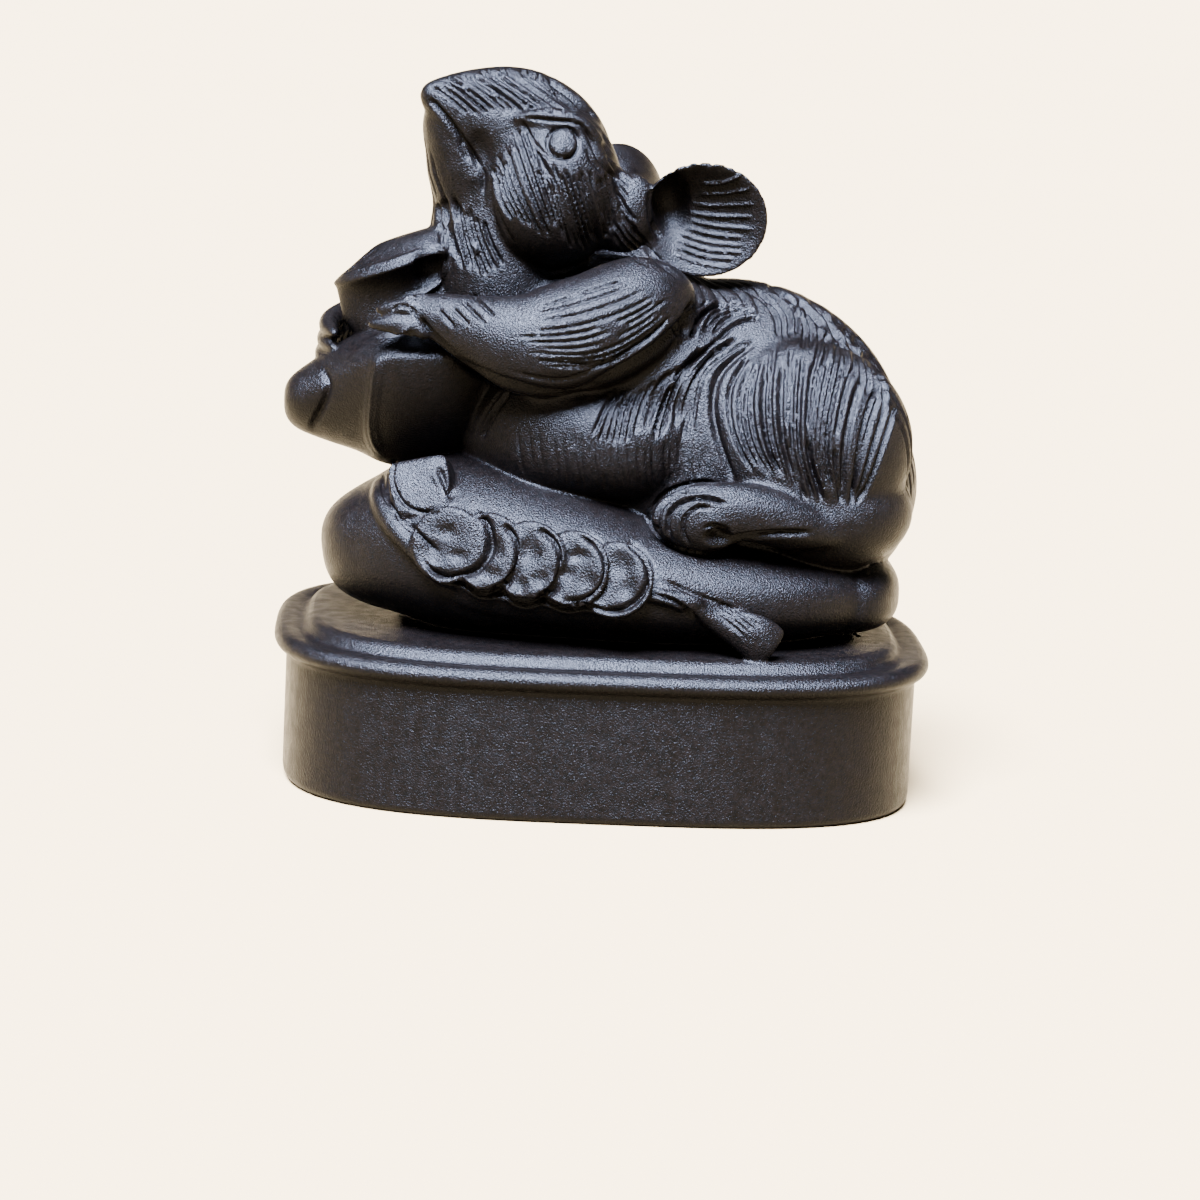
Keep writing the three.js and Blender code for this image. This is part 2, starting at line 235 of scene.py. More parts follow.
def unit_ball(around, along):
    """The unit sphere's points, in rows from its pole on +X to the other one."""
    polar = np.linspace(0, np.pi, along)[:, None]
    angle = circle(around)
    return np.stack([np.cos(polar) + 0 * angle, np.sin(polar) * np.cos(angle),
                     np.sin(polar) * np.sin(angle)], -1)


def blob(centre, radii, turns=(0, 0, 0), around=64, along=48):
    """An ellipsoid: the unit sphere stretched to the radii, turned and moved."""
    return closed_grid(on_plinth(turned(unit_ball(around, along) * radii, turns) + centre))


def box(centre, size, turns, rounding=5.0, steps=36):
    """A block with rounded edges: the sphere pushed out to a superellipsoid, |x|^n + |y|^n +
    |z|^n = 1 with n = rounding, stretched to the size."""
    ball = unit_ball(steps, steps)
    reach = (np.abs(ball)**rounding).sum(-1, keepdims=True)**(-1 / rounding)
    return closed_grid(on_plinth(turned(ball * reach * np.array(size) / 2, turns) + centre))


def outline_place(angle, inset):
    """The plinth's oblong outline, |x|^3.2 + |y|^3.2 = 1 stretched to its size, brought in by
    inset all round."""
    bend = 2 / 3.2
    c, s = np.cos(angle), np.sin(angle)
    return ((LENGTH / 2 - inset) * np.sign(c) * np.abs(c)**bend,
            (DEPTH / 2 - inset) * np.sign(s) * np.abs(s)**bend)


def plinth():
    """The plinth: its profile of inset and height carried round the outline."""
    profile = np.array([
        [DEPTH / 2, 0.0], [8.0, 0.0], [1.75, 0.0], [1.45, 0.1], [1.2, 0.35], [1.1, 0.7],
        [1.1, 6.0], [1.1, 11.0], [1.0, 11.38], [0.55, 11.62], [0.2, 11.9], [0.0, 12.25],
        [0.02, 12.6], [0.2, 12.92], [0.55, 13.17], [1.0, 13.27], [1.6, 13.24], [2.2, 13.12],
        [2.55, 13.2], [2.75, 13.5], [2.95, 13.85], [3.35, 14.1], [3.9, 14.2], [9.0, 14.2],
        [DEPTH / 2, 14.2]])
    angle = circle(480)
    x, y = outline_place(angle, profile[:, :1])
    centre = (profile[:, 0] > DEPTH / 2 - 0.01)[:, None]
    rows = np.stack([np.where(centre, 0, x), np.where(centre, 0, y),
                     profile[:, 1:] + 0 * angle], -1)
    return closed_grid(rows)


# The forms

# The bag's sections from its mouth to its end, each [x, y, z, half width, half height]
BAG = [
    [-24.4, 1.5, 5.2, 8, 5.2], [-20, 0.4, 6.0, 11.8, 6.1], [-13, -0.6, 7.0, 14.8, 7.8],
    [-5, -1.2, 6.4, 16.2, 7.2], [4, -1.2, 5.0, 16.8, 5.8], [15, -0.6, 4.1, 15.8, 4.9],
    [25.5, 0.6, 3.6, 12, 4.3]]
BAG_FORM = {"fullness": 3.2, "squareness": 2.5}
# The tip of the ingot's wing, as x and height, and how steeply the wing rises from it
WING_TIP = (-24.9, 28.9)
WING_SLOPE = np.radians(20)
INGOT_MIDDLE = -1


def on_bag(t, degrees, *sizes):
    """A drawn point on the bag: t from its mouth to its end, and degrees round it, where 90 is
    the top and 180 the front."""
    angle = np.radians(degrees)
    return [*limb_surface(BAG, **BAG_FORM)(np.array(t), np.cos(angle), np.sin(angle)), *sizes]


def coins():
    """A row of discs on the bag's front, each tucked under the one before it."""
    radius, half, lean, count = 3.3, 0.65, (-0.22, 0, -0.3), 5
    profile = np.array([[0, -half], [radius - half, -half], [radius - 0.2, -0.3 * half],
                        [radius, 0.2 * half], [radius - 0.08, 0.75 * half],
                        [radius - 0.3, half], [radius - 0.7, 1.04 * half], [0, 0.9 * half]])
    angle = circle(96)
    disc = np.stack([profile[:, :1] * np.cos(angle), -profile[:, 1:] + 0 * angle,
                     profile[:, :1] * np.sin(angle)], -1)
    disc = turned(disc, lean)
    return [closed_grid(on_plinth(disc + on_bag(0.345 + 0.252 * share, 172.5 + 2 * share)))
            for share in np.linspace(0, 1, count)]


def bag_forms():
    """The bag, its rolled mouth, the bar that shows in the mouth, the cord and the tassel."""
    rim = [on_bag(0.2, 104, 0.5), on_bag(0.224, 134, 0.9), on_bag(0.25, 156, 1.0),
           on_bag(0.28, 172, 0.9), on_bag(0.325, 184, 0.8), on_bag(0.37, 192, 0.5)]
    cord = [on_bag(0.6, 180, 0.5), on_bag(0.66, 179, 0.7), on_bag(0.7, 180, 0.8),
            on_bag(0.72, 182, 0.6)]
    tassel = [on_bag(0.7, 181, 0.6, 0.6), on_bag(0.735, 190, 0.9, 1.1),
              [12, -17.4, 2.2, 1.0, 1.9], [14, -17.1, 0.9, 0.9, 2.0]]
    return [limb(BAG, around=160, along=140, **BAG_FORM), limb(rim),
            box([18.6, 0.4, 3.7], (15.4, 23, 7.2), (0, 0, 0), 2.8, 96),
            box(on_bag(0.3, 136), (5.4, 2.8, 5.2), (-0.5, -0.25, -0.2), 8.0),
            *coins(), limb(cord), limb(tassel, fullness=9)]


def body_forms():
    """The rat without its fingers: trunk, legs, neck, skull, ears, brows, cheeks and tail."""
    chest = [[-11, 0, 23, 6.5, 7.5], [-4, 0, 23.4, 9.6, 9], [4, 0, 21.6, 11.2, 10],
             [12, 0, 18, 12, 11]]
    belly = [[-14, -1, 17, 6, 5], [-8, -1, 17.4, 10.4, 6.6], [0, -1, 17, 12.4, 6.8],
             [9, 0, 15, 12.6, 7]]
    foot = [[21, -11.4, 9.8, 1.8, 1.6], [15.5, -13, 11.2, 2.3, 2.4], [11, -14.2, 12.2, 2.2, 2.5],
            [7.2, -14.6, 11.6, 2.4, 3.2], [3.2, -14.4, 11.4, 2.2, 2.6]]
    foreleg = [[6, -6.5, 29.4, 4, 4], [2, -8.6, 28.8, 4.8, 5], [-2.5, -10.6, 26.8, 4.8, 5],
               [-7.5, -11.8, 25.6, 4, 4.6], [-12, -11.4, 26.4, 2.9, 3.2],
               [-16, -10.2, 27.4, 2.2, 2.2], [-19.5, -8.8, 27, 2.4, 1.9]]
    neck = [[-9, 0, 24, 7, 7], [-10.6, 0, 31, 5.8, 6.2], [-11.6, 0, 37, 5.2, 5.2],
            [-14, -1.6, 41.2, 3.8, 3.9], [-16.9, -3.4, 44.8, 2.2, 1.9]]
    skull = [[-18.6, 0, 46.1, 1.9, 1.9], [-14.4, 0, 44.6, 3.6, 4.0], [-9.8, 0, 42.9, 5.4, 5.5],
             [-5.9, 0, 40.6, 6, 5.7], [-1.6, 0, 38.2, 5, 4.9]]
    ear_root = [[-5, -3.4, 36.2, 2.6, 3.2], [-2, -5.8, 36.4, 2.3, 3.5], [0.6, -7.2, 36.2, 1.8, 3.5]]
    tail = [[23.2, 0, 17.5, 2.6], [24.1, 1.4, 12, 2.6], [23.9, 4.2, 8.6, 2.3],
            on_bag(0.955, 45, 1.9), on_bag(0.89, 14, 1.7), on_bag(0.76, 2, 1.5),
            on_bag(0.6, -2, 1.3), on_bag(0.45, 4, 0.9)]
    brow = [[-12, -4.7, 44.2, 0.5], [-9.4, -6.1, 44.5, 0.85], [-6.6, -6.9, 43.9, 0.85],
            [-4.4, -7.1, 42.2, 0.5]]
    forms = [blob([10.2, 0.4, 14.8], [16.3, 12.4, 15.8], around=120, along=96),
             blob([18.4, 1, 12.6], [9.2, 10.6, 9.8]), limb(chest, around=80),
             limb(belly, around=80, squareness=2.5), limb(neck, around=64, fullness=3.4),
             ear(-1), ear(1), limb(with_head(skull), around=72, fullness=2.8),
             limb(tail, along=120, fullness=6)]
    for side in (list, mirrored):
        cheek = with_head(side([[-7.4, -3.2, 38.2]]))[0]
        forms += [blob(side([[16.2, -7.6, 17.2]])[0], [9.8, 6.3, 9.2]), limb(side(foot)),
                  blob(side([[18.6, -6.4, 11.6]])[0], [7.9, 6.9, 5.6]), limb(with_head(side(brow))),
                  limb(side(foreleg), along=90, fullness=3),
                  blob(cheek, [6, 5.9, 7.2], (0, 0, HEAD_TURN)),
                  limb(with_head(side(ear_root)))]
    return forms


def ear(side):
    """A cupped shell. Rays run from the hollow near the head to the rim; across the inner face the
    depth is 3 * (1 - ray^1.7), and the rim is rolled a little."""
    centre = with_head([[4.4, side * 9.4, 36.1]])[0]
    length, height, depth = 5.6, 5.1, 3.0
    hollow_x, hollow_z = -2.6, 0.2
    polar = np.linspace(0, np.pi, 72)[:, None]
    angle = circle(128)
    facing = np.cos(polar) + 0 * angle
    ray = np.sin(polar)
    x = hollow_x + (length * np.cos(angle) - hollow_x) * ray
    z = hollow_z + (height * np.sin(angle) - hollow_z) * ray
    bowl = depth * (1 - ray**1.7)
    outward = np.where(facing > 0, 0.8 * facing - bowl, 1.28 * facing - 0.9 * bowl)
    rows = np.stack([x, side * outward, z], -1)
    turns = (-side * np.radians(8), 0, HEAD_TURN + side * np.radians(20))
    return closed_grid(on_plinth(turned(rows, turns) + centre))


def ingot_hull():
    """The ingot's boat-shaped lower half, in sections across X, each widest at a ridge. Above the
    ridge a section is half an ellipse, and below it |y / width|^1.5 + |z / depth|^1.5 = 1.
    A station is x, the ridge's height, the half width, the height above and the depth below."""
    stations = np.array([
        [-28.9, 18.6, 3.4, 2.3, 3.1], [-27.2, 19.1, 3.9, 2.6, 3.9], [-24.8, 20.6, 5.2, 2.6, 5.9],
        [-22.4, 22.3, 7.2, 2.3, 8.2], [-20, 23.4, 9.0, 2.1, 10.3], [-17, 23.7, 9.6, 2.0, 11],
        [-13.5, 23.4, 9.4, 2.0, 10.8], [-9, 22.4, 8, 2.0, 9.4]])
    t = (1 - np.cos(np.linspace(0, np.pi, 96)))[:, None] / 2
    angle = circle(128)
    x, ridge, width, above, below = (part[:, None] for part in spline(stations, t[:, 0])[0].T)
    end = taper(t, 3.4)
    c, s = np.cos(angle), np.sin(angle)
    power = np.where(s > 0, 1, 2 / 1.5)
    lift = np.where(s > 0, above * s, -below * np.abs(s)**power)
    across = INGOT_MIDDLE + end * width * np.sign(c) * np.abs(c)**power
    rows = np.stack([x + 0 * angle, across, ridge + end * lift], -1)
    return closed_grid(on_plinth(rows))


def ingot_wing():
    """The ingot's upper end: flat sections, each |u / length|^1.6 + |y / width|^1.6 = 1, stacked
    square to the line u that runs from the tip, which rises by WING_SLOPE. A station is the height
    above that line, where the section starts and ends along it, and its half width."""
    stations = np.array([
        [2.1, 5.0, 8.6, 0.8], [1.95, 4.3, 11, 1.7], [1.5, 3.2, 12, 2.8], [1.0, 2.1, 12.3, 3.7],
        [0.5, 1.0, 12.4, 4.4], [0, 0, 12.4, 4.9], [-0.5, 0.05, 12.2, 4.2], [-1.2, 0, 12, 3.5],
        [-2.2, -0.1, 11.8, 3.1], [-3.4, -0.15, 11.5, 3.1], [-5, 0.3, 11, 3.8], [-7, 1.2, 10, 4.6],
        [-9, 2, 9, 4.4]])
    t = (1 - np.cos(np.linspace(0, np.pi, 128)))[:, None] / 2
    angle = circle(96)
    rise, start, stop, width = (part[:, None] for part in spline(stations, t[:, 0])[0].T)
    end = taper(t, 12)
    c, s = (np.sign(wave) * np.abs(wave)**1.25 for wave in (np.cos(angle), np.sin(angle)))
    along = (start + stop) / 2 + end * (stop - start) / 2 * c
    tip_x, tip_z = WING_TIP
    rows = np.stack([tip_x + along * np.cos(WING_SLOPE) - rise * np.sin(WING_SLOPE),
                     INGOT_MIDDLE + end * width * s,
                     tip_z + along * np.sin(WING_SLOPE) + rise * np.cos(WING_SLOPE)], -1)
    return closed_grid(on_plinth(rows))


def small_forms():
    """What stays crisp on the rat: the fingers, and the ingot that it hugs."""
    fingers = [[[-14.9, -10.4, 27.6, 1.0], [-18.2, -10.5, 28.0, 0.85], [-21.0, -9.6, 27.6, 0.6]],
               [[-15.2, -10.8, 26.3, 1.0], [-18.4, -10.9, 26.6, 0.85], [-21.6, -9.8, 26.4, 0.6]]]
    far_fingers = [[[-17.4, 10, 27.2 - 1.3 * i, 0.8], [-22.4, 8.6, 26 - 1.3 * i, 0.9],
                    [-24.8 - 0.12 * i, 4.6, 25.2 - 1.3 * i, 0.95],
                    [-25.3 - 0.12 * i, 0.6, 24.8 - 1.3 * i, 0.85],
                    [-24.6, -3, 24.6 - 1.3 * i, 0.75]] for i in range(4)]
    return [ingot_hull(), ingot_wing(), *[limb(finger) for finger in fingers + far_fingers]]


# Fusing and softening

def read_out(items, name, width, kind=np.float32):
    """One property of all the items of a mesh, as an array with width numbers to an item."""
    values = np.empty(len(items) * width, kind)
    items.foreach_get(name, values)
    return values.reshape(-1, width)


def new_object(name, data):
    """An object that holds the data, in the scene."""
    made = bpy.data.objects.new(name, data)
    bpy.context.collection.objects.link(made)
    return made


class Skin:
    """A mesh as arrays in millimetres: its points, four-sided faces and edges."""

    def __init__(self, mesh):
        self.points = read_out(mesh.vertices, "co", 3).astype(float)
        self.faces = read_out(mesh.loops, "vertex_index", 1, np.int32).reshape(-1, 4)
        self.edges = read_out(mesh.edges, "vertices", 2, np.int32)
        self.degree = np.bincount(self.edges.ravel(), minlength=len(self.points))[:, None]

    def around(self, values):
        """The mean of each point's neighbours."""
        a, b = self.edges.T
        count = len(self.points)
        total = [np.bincount(a, v[b], count) + np.bincount(b, v[a], count) for v in values.T]
        return np.column_stack(total) / self.degree

    def normals(self):
        """Each point's unit normal, from the diagonals' cross product of the faces round it."""
        p = self.points[self.faces]
        cross = np.cross(p[:, 2] - p[:, 0], p[:, 3] - p[:, 1])
        count = len(self.points)
        total = sum(np.column_stack([np.bincount(self.faces[:, k], c, count) for c in cross.T])
                    for k in range(4))
        return total / np.maximum(np.linalg.norm(total, axis=1, keepdims=True), 1e-12)

    def soften(self, rounds, weight=1.0):
        """Moves each point half way to its neighbours' mean, and then a little more than that back
        out, so that the form keeps its size."""
        for _ in range(rounds):
            self.points += 0.5 * weight * (self.around(self.points) - self.points)
            self.points -= 0.52 * weight * (self.around(self.points) - self.points)

    def fill_creases(self, rounds, weight):
        """Fills hollow creases: each round moves the points whose neighbours lie above them, along
        their normals, towards the neighbours' mean, so that forms run into each other."""
        for step in range(rounds):
            if step % 5 == 0:
                normal = self.normals()
            pull = ((self.around(self.points) - self.points) * normal).sum(1)
            self.points += 0.8 * (np.maximum(pull, 0) * weight)[:, None] * normal
            self.soften(1, 0.35 * weight[:, None])


def fused(shells, voxel):
    """Closed shells joined into one skin by a voxel remesh."""
    verts, faces, start = [], [], 0
    for points, polygons in shells:
        verts.append(points)
        faces += [[start + i for i in polygon] for polygon in polygons]
        start += len(points)
    mesh = bpy.data.meshes.new("forms")
    mesh.from_pydata(np.vstack(verts).tolist(), [], faces)
    holder = new_object("forms", mesh)
    remesh = holder.modifiers.new("fuse", "REMESH")
    remesh.mode = "VOXEL"
    remesh.voxel_size = voxel
    result = bpy.data.meshes.new_from_object(holder.evaluated_get(
        bpy.context.evaluated_depsgraph_get()))
    bpy.data.objects.remove(holder)
    bpy.data.meshes.remove(mesh)
    skin = Skin(result)
    bpy.data.meshes.remove(result)
    return skin


def in_ball(points, centre, radius, edge):
    """1 inside a ball and 0 outside, with a soft edge."""
    return 1 - smooth_step(radius - edge, radius, np.linalg.norm(points - centre, axis=1))


# The carver's strokes

# Views that are cut together: the near side and its mirror image on the far side
PAIRS = {"both": ("show", "far"), "both_heads": ("head", "far_head")}
# The cosine between a face and the line of sight where strokes begin, and where they are full
SIDE_FACING, END_FACING, TOP_FACING = (0, 0.42), (0.45, 0.75), (0.72, 0.9)
# Where the near strokes fade away and where the far ones start, from the middle plane, in millimetres
NEAR_BODY_FADE, NEAR_HEAD_FADE = (1, 3), (3, 4.5)
FAR_BODY_START, FAR_HEAD_START = (-1, 2), (0, 1.5)
CARVER_SEED = 7
# The eye's middle, and how far right of a coin's edge its gap is cut, in pixels
EYE_PIXEL = (563, 143)
COIN_GAP_SHIFT = 4


class Carver:
    """Cuts and raises lines on a skin. A line is drawn as seen from one side, and works only on
    the points that face that side. A view is each point's place in it, how much the point shows, and
    its units in a millimetre. On the near and the far side the units are pixels of the photograph,
    and from the rear, the front and above they are millimetres."""

    def __init__(self, skin):
        self.skin = skin
        self.normal = skin.normals()
        self.move = np.zeros(len(skin.points))
        self.random = np.random.default_rng(CARVER_SEED)
        p, n = skin.points, self.normal
        far = np.array([1, -1, 1])
        head_point = across_head(p)
        head_normal = across_head(p + n) - head_point
        head_side = (p - [NECK_X, 0, 0]) @ [-np.sin(HEAD_TURN), np.cos(HEAD_TURN), 0]

        def facing(normal):
            return smooth_step(*SIDE_FACING, normal @ CAMERA_TURN[:, 2])

        near_body = facing(n) * (1 - smooth_step(*NEAR_BODY_FADE, p[:, 1]))
        near_head = facing(n) * (1 - smooth_step(*NEAR_HEAD_FADE, head_side))
        far_body = (1 - near_body) * smooth_step(*FAR_BODY_START, p[:, 1]) * facing(n * far)
        far_head = (1 - near_head) * smooth_step(*FAR_HEAD_START, head_side) * facing(head_normal)
        seen = picture_place(p)
        self.views = {
            "show": (seen, near_body, PIXELS_PER_MM),
            "far": (picture_place(p * far), far_body, PIXELS_PER_MM),
            "head": (seen, near_head, PIXELS_PER_MM),
            "far_head": (picture_place(head_point), far_head, PIXELS_PER_MM),
            "rear": (p[:, [1, 2]], smooth_step(*END_FACING, n[:, 0]), 1.0),
            "front": (p[:, [1, 2]], smooth_step(*END_FACING, -n[:, 0]), 1.0),
            "above": (p[:, [0, 1]], smooth_step(*TOP_FACING, n[:, 2]), 1.0)}

    def nearby(self, view, curve, reach):
        """The points within reach of a curve: their numbers, their distance to it in millimetres,
        where along it they are, from 0 to 1, and how much they show in the view."""
        place, shown, scale = self.views[view]
        low, high = curve.min(0) - reach * scale, curve.max(0) + reach * scale
        hit = np.nonzero((shown > 0.01) & (place > low).all(1) & (place < high).all(1))[0]
        at = place[hit]
        best = np.full(len(hit), np.inf)
        share = np.zeros(len(hit))
        steps = np.linalg.norm(np.diff(curve, axis=0), axis=1)
        before = np.concatenate([[0], np.cumsum(steps)])
        for k, (a, b) in enumerate(zip(curve[:-1], curve[1:])):
            run = b - a
            w = np.clip((at - a) @ run / (run @ run), 0, 1)
            gap = at - a - w[:, None] * run
            distance = np.hypot(*gap.T)
            closer = distance < best
            best[closer] = distance[closer]
            share[closer] = ((before[k] + w * steps[k]) / before[-1])[closer]
        return hit, best / scale, share, shown[hit]

    def line(self, view, points, width, depth, ends=0.25, raised=0.12, fine=14):
        """A groove with depth * exp(-(distance / width)^2), fading over its ends, with low raised
        shoulders beside it. A negative depth raises a ridge. Both sides of the rat are cut where
        the view is "both" or "both_heads"."""
        for one in PAIRS.get(view, (view,)):
            curve = spline(points, np.linspace(0, 1, fine))[0]
            hit, distance, share, shown = self.nearby(one, curve, 3.2 * width)
            fade = smooth_step(0, ends, share) * smooth_step(0, ends, 1 - share) * shown
            cut = -np.exp(-(distance / width)**2)
            shoulder = raised * np.exp(-((distance - 1.9 * width) / width)**2)
            self.move[hit] += depth * fade * (cut + shoulder)

    def family(self, view, guides, count, width, depth, broken=0.0, wander=0.25, ends=0.2):
        """Strokes between guide lines: each stroke is the guides' own spline at its share, with a
        small random shift, length and depth. Broken strokes are cut in two shorter ones."""
        guides = np.array(guides, float)
        scale = self.views[PAIRS.get(view, (view,))[0]][2]
        lines = spline(guides.reshape(len(guides), -1), np.linspace(0, 1, count))[0]
        for row in lines.reshape(count, -1, 2):
            shift = self.random.normal(0, wander * scale * 0.4, 2)
            start, stop = self.random.uniform(0, 0.14), self.random.uniform(0.86, 1)
            depth_here = depth * self.random.uniform(0.7, 1.15)
            if self.random.uniform() < broken:
                middle = self.random.uniform(0.35, 0.65)
                parts = [(start, middle - 0.03), (middle + 0.03, stop)]
            else:
                parts = [(start, stop)]
            for low, high in parts:
                piece = spline(row, np.linspace(low, high, 7))[0] + shift
                self.line(view, piece, width, depth_here, ends)

    def swell(self, view, centre, radii, height):
        """A soft hill, or a dish if height is negative, over an ellipse: its height falls to the
        edge as (1 - reach^2)^1.5."""
        for one in PAIRS.get(view, (view,)):
            place, shown, scale = self.views[one]
            reach = (((place - centre) / (np.array(radii) * scale))**2).sum(1)**0.5
            self.move += height * shown * np.maximum(1 - reach**2, 0)**1.5

    def cut(self):
        """Moves the skin's points along their normals by all that was cut and raised."""
        self.skin.points += self.move[:, None] * self.normal


def carve_head(c):
    """The muzzle's crease, the eye with its lids, the cheek's fur and the forehead's fur."""
    # The mouth, the fold below its corner and the hollow behind the lip
    c.line("both_heads", [(428, 97), (446, 117), (460, 136), (471, 153), (482, 170)], 0.22, 0.55, 0.1)
    c.line("both_heads", [(481, 164), (484, 178), (482, 196)], 0.18, 0.26, 0.25)
    c.line("both_heads", [(457, 136), (463, 150), (470, 164)], 0.22, 0.4, 0.3)
    c.swell("both_heads", (480, 148), (1.3, 1.9), -0.42)
    c.swell("both_heads", (473, 178), (0.9, 0.9), 0.2)
    c.swell("both_heads", (441, 130), (1.0, 2.2), 0.12)
    # The cheek's outline
    c.line("both_heads", [(487, 176), (488, 205), (496, 232), (512, 255), (545, 271), (580, 266),
                          (608, 246), (619, 215)], 0.45, 0.22, 0.2, 0.0)
    # Forehead and muzzle
    c.family("both_heads", [[(430, 84), (450, 98), (472, 118)], [(457, 72), (486, 92), (516, 116)],
                            [(488, 66), (526, 92), (560, 116)], [(522, 67), (555, 92), (584, 113)],
                            [(546, 74), (575, 97), (598, 119)], [(574, 86), (590, 99), (608, 124)]],
             24, 0.14, 0.46, 0.1, 0.2, 0.1)
    # Cheek
    c.family("both_heads", [[(492, 164), (500, 198), (514, 222)], [(503, 146), (516, 190), (540, 238)],
                            [(520, 122), (538, 172), (562, 246)], [(542, 154), (561, 200), (578, 254)],
                            [(564, 164), (579, 210), (592, 254)], [(586, 168), (599, 212), (604, 248)],
                            [(604, 168), (612, 205), (615, 242)]],
             22, 0.14, 0.5, 0.1, 0.16, 0.12)
    # Temple, between the eye and the ear
    c.family("both_heads", [[(598, 110), (612, 136), (632, 162)], [(600, 136), (612, 156), (634, 176)],
                            [(612, 180), (622, 200), (632, 222)]], 7, 0.14, 0.3, 0.0, 0.16)
    c.family("both_heads", [[(614, 186), (624, 208), (640, 226)], [(616, 208), (628, 230), (648, 250)],
                            [(612, 230), (626, 250), (652, 268)]], 6, 0.16, 0.34, 0.0, 0.16)
    # The eye: a domed button in a ring, between almond lids
    relief, button_edge, ring_radius, ring_width, lid_edge = 0.34, 1.3, 1.38, 0.13, 1.8
    for view in PAIRS["both_heads"]:
        place, shown, scale = c.views[view]
        away = np.hypot(*(place - EYE_PIXEL).T) / scale
        dome = 1 + 0.25 * smooth_step(1.1, 0, away)
        button = relief * smooth_step(button_edge, 1.05, away) * dome
        ring = -relief * np.exp(-((away - ring_radius) / ring_width)**2)
        flat = smooth_step(lid_edge, 1.5, away)
        c.move = c.move * (1 - flat * shown) + shown * (button + ring)
    c.line("both_heads", [(520, 118), (535, 119), (556, 121), (577, 123), (589, 136), (598, 156),
                          (611, 173), (627, 181)], 0.18, 0.36, 0.12)
    c.line("both_heads", [(521, 118), (528, 132), (538, 147), (555, 163)], 0.15, 0.28, 0.2)
    c.line("both_heads", [(586, 148), (592, 160), (604, 174)], 0.16, 0.24, 0.3)
    # Nostril
    c.line("both_heads", [(431, 91), (436, 88), (441, 90)], 0.18, 0.24, 0.3)


def carve_ear(c):
    """The ribs that run from the hollow to the rim, and the shadow lines round the root."""
    c.family("both_heads", [[(698, 183), (722, 182), (744, 174)], [(686, 206), (718, 208), (760, 207)],
                            [(682, 222), (714, 230), (756, 234)], [(674, 237), (708, 248), (748, 251)],
                            [(666, 250), (698, 263), (734, 268)]],
             10, 0.11, -0.26, 0.0, 0.05, 0.15)
    c.swell("both_heads", (671, 203), (1.9, 3.2), -1.2)
    c.line("both_heads", [(654, 178), (650, 200), (652, 222), (662, 242)], 0.25, 0.3, 0.2)
    c.family("both_heads", [[(622, 214), (632, 228), (640, 240)], [(642, 246), (664, 266), (690, 284)]],
             4, 0.15, 0.22, 0.0, 0.16)


